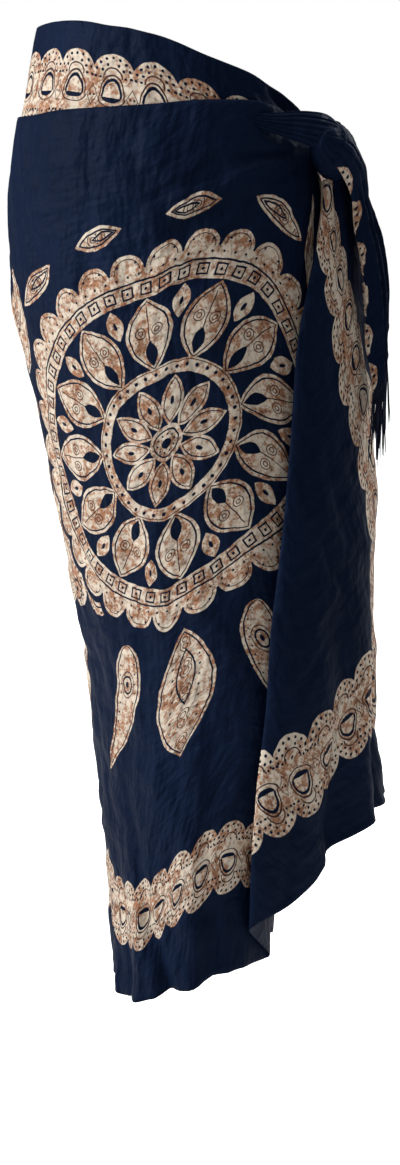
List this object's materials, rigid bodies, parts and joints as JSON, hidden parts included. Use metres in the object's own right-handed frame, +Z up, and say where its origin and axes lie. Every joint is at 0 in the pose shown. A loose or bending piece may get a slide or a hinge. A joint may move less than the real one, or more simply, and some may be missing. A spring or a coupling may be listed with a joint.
{
  "type": "sarong",
  "caption": "Printed rectangular sarong worn as an ankle-length wrap skirt, tucked at the waist, knotted at the left hip, with fringed ends.",
  "frame": {"origin": "centre of the waist opening, where the garment is held on a figure", "axes": "+Z up along the figure, -Y the way the wearer faces, +X the wearer's left, where the knot is"},
  "size_m": [0.4098, 0.3512, 1.0531],
  "materials": {
    "printed_cloth": "soft batik rayon, navy with a cream and rust print",
    "cloth_inside": "the same cloth, inside the wrap",
    "fringe_thread": "twisted rayon warp threads"
  },
  "bodies": {
    "root": {"waist_front": "printed_cloth", "waist_back": "printed_cloth", "front_wrap": "printed_cloth", "back_wrap": "printed_cloth", "outer_end": "printed_cloth", "inner_end": "cloth_inside", "knot": "printed_cloth", "tail_front": "printed_cloth", "tail_back": "printed_cloth", "fringe_outer_end": "fringe_thread", "fringe_tail_front": "fringe_thread", "fringe_tail_back": "fringe_thread"}
  },
  "joints": []
}
